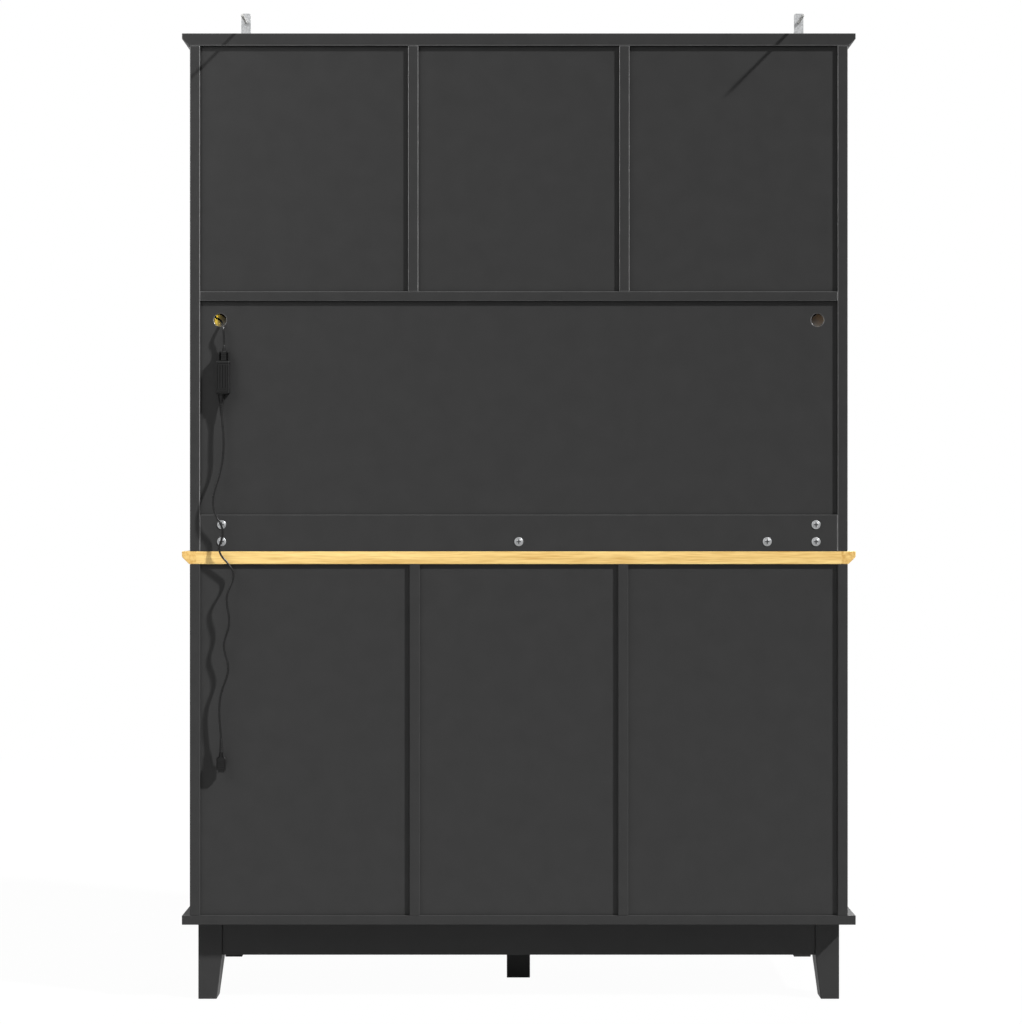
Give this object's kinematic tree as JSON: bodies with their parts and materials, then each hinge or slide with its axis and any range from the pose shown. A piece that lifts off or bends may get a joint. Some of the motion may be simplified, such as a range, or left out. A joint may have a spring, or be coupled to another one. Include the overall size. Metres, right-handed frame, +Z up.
{
  "type": "bar armoire",
  "caption": "Tall free-standing bar armoire with glazed upper doors, lit open niche, wood countertop, panelled lower doors and tapered feet.",
  "frame": {"origin": "on the floor, at the centre of the centre foot's bottom face", "axes": "+Z up, front faces -Y, rear with the wall plugs faces +Y, +X to the right seen from the front"},
  "size_m": [1.27, 0.459, 1.864],
  "materials": {
    "black_lacquer": "satin black lacquer on board",
    "counter_wood": "clear lacquered natural wood",
    "zinc_steel": "zinc plated",
    "knob_brass": "brushed brass",
    "clear_glass": "clear",
    "plug_plastic": "moulded",
    "black_plastic": "moulded",
    "cord_black": "soft jacket",
    "channel_aluminium": "anodised",
    "strip_white": "printed strip",
    "lit_diffuser": "frosted, lit warm white"
  },
  "bodies": {
    "cabinet": {"corner_feet": "black_lacquer", "centre_foot": "black_lacquer", "long_aprons": "black_lacquer", "side_aprons": "black_lacquer", "base_board": "black_lacquer", "lower_side_left": "black_lacquer", "lower_side_right": "black_lacquer", "lower_partition_left": "black_lacquer", "lower_partition_right": "black_lacquer", "lower_back_panels": "black_lacquer", "lower_shelves": "black_lacquer", "countertop": "counter_wood", "hutch_side_left": "black_lacquer", "hutch_side_right": "black_lacquer", "hutch_rail": "black_lacquer", "niche_back_panel": "black_lacquer", "hutch_deck": "black_lacquer", "upper_partition_left": "black_lacquer", "upper_partition_right": "black_lacquer", "upper_back_panels": "black_lacquer", "upper_shelves": "black_lacquer", "crown_board": "black_lacquer", "shelf_pins": "zinc_steel", "frame_hinge_leaves": "zinc_steel", "hinge_pins": "zinc_steel", "rail_cams": "zinc_steel", "cam_bolts": "zinc_steel", "door_catches": "black_plastic", "anti_tip_brackets": "zinc_steel", "anti_tip_screws": "zinc_steel", "wall_plugs": "plug_plastic", "light_channel": "channel_aluminium", "light_strip": "strip_white", "light_diffuser": "lit_diffuser", "light_lead": "cord_black", "lead_connector": "black_plastic", "light_driver": "black_plastic", "power_cord": "cord_black", "power_plug": "black_plastic"},
    "lower_door_left": {"lower_door_left": "black_lacquer", "lower_knob_left": "knob_brass", "lower_door_leaves_left": "zinc_steel"},
    "lower_door_centre": {"lower_door_centre": "black_lacquer", "lower_knob_centre": "knob_brass", "lower_door_leaves_centre": "zinc_steel"},
    "lower_door_right": {"lower_door_right": "black_lacquer", "lower_knob_right": "knob_brass", "lower_door_leaves_right": "zinc_steel"},
    "upper_door_left": {"upper_door_left": "black_lacquer", "upper_knob_left": "knob_brass", "upper_door_leaves_left": "zinc_steel", "upper_glass_left": "clear_glass"},
    "upper_door_centre": {"upper_door_centre": "black_lacquer", "upper_knob_centre": "knob_brass", "upper_door_leaves_centre": "zinc_steel", "upper_glass_centre": "clear_glass"},
    "upper_door_right": {"upper_door_right": "black_lacquer", "upper_knob_right": "knob_brass", "upper_door_leaves_right": "zinc_steel", "upper_glass_right": "clear_glass"}
  },
  "joints": [
    {"name": "lower_door_left_hinge", "type": "hinge", "parent": "cabinet", "child": "lower_door_left", "pos_m": [-0.5995, -0.1883, 0.49565], "axis": [0, 0, -1], "range_deg": [0, 110]},
    {"name": "lower_door_centre_hinge", "type": "hinge", "parent": "cabinet", "child": "lower_door_centre", "pos_m": [-0.1855, -0.1883, 0.49565], "axis": [0, 0, -1], "range_deg": [0, 100]},
    {"name": "lower_door_right_hinge", "type": "hinge", "parent": "cabinet", "child": "lower_door_right", "pos_m": [0.5995, -0.1883, 0.49565], "axis": [0, 0, 1], "range_deg": [0, 110]},
    {"name": "upper_door_left_hinge", "type": "hinge", "parent": "cabinet", "child": "upper_door_left", "pos_m": [-0.5995, -0.1883, 1.5723], "axis": [0, 0, -1], "range_deg": [0, 110]},
    {"name": "upper_door_centre_hinge", "type": "hinge", "parent": "cabinet", "child": "upper_door_centre", "pos_m": [-0.188, -0.1883, 1.5723], "axis": [0, 0, -1], "range_deg": [0, 100]},
    {"name": "upper_door_right_hinge", "type": "hinge", "parent": "cabinet", "child": "upper_door_right", "pos_m": [0.5995, -0.1883, 1.5723], "axis": [0, 0, 1], "range_deg": [0, 110]}
  ]
}
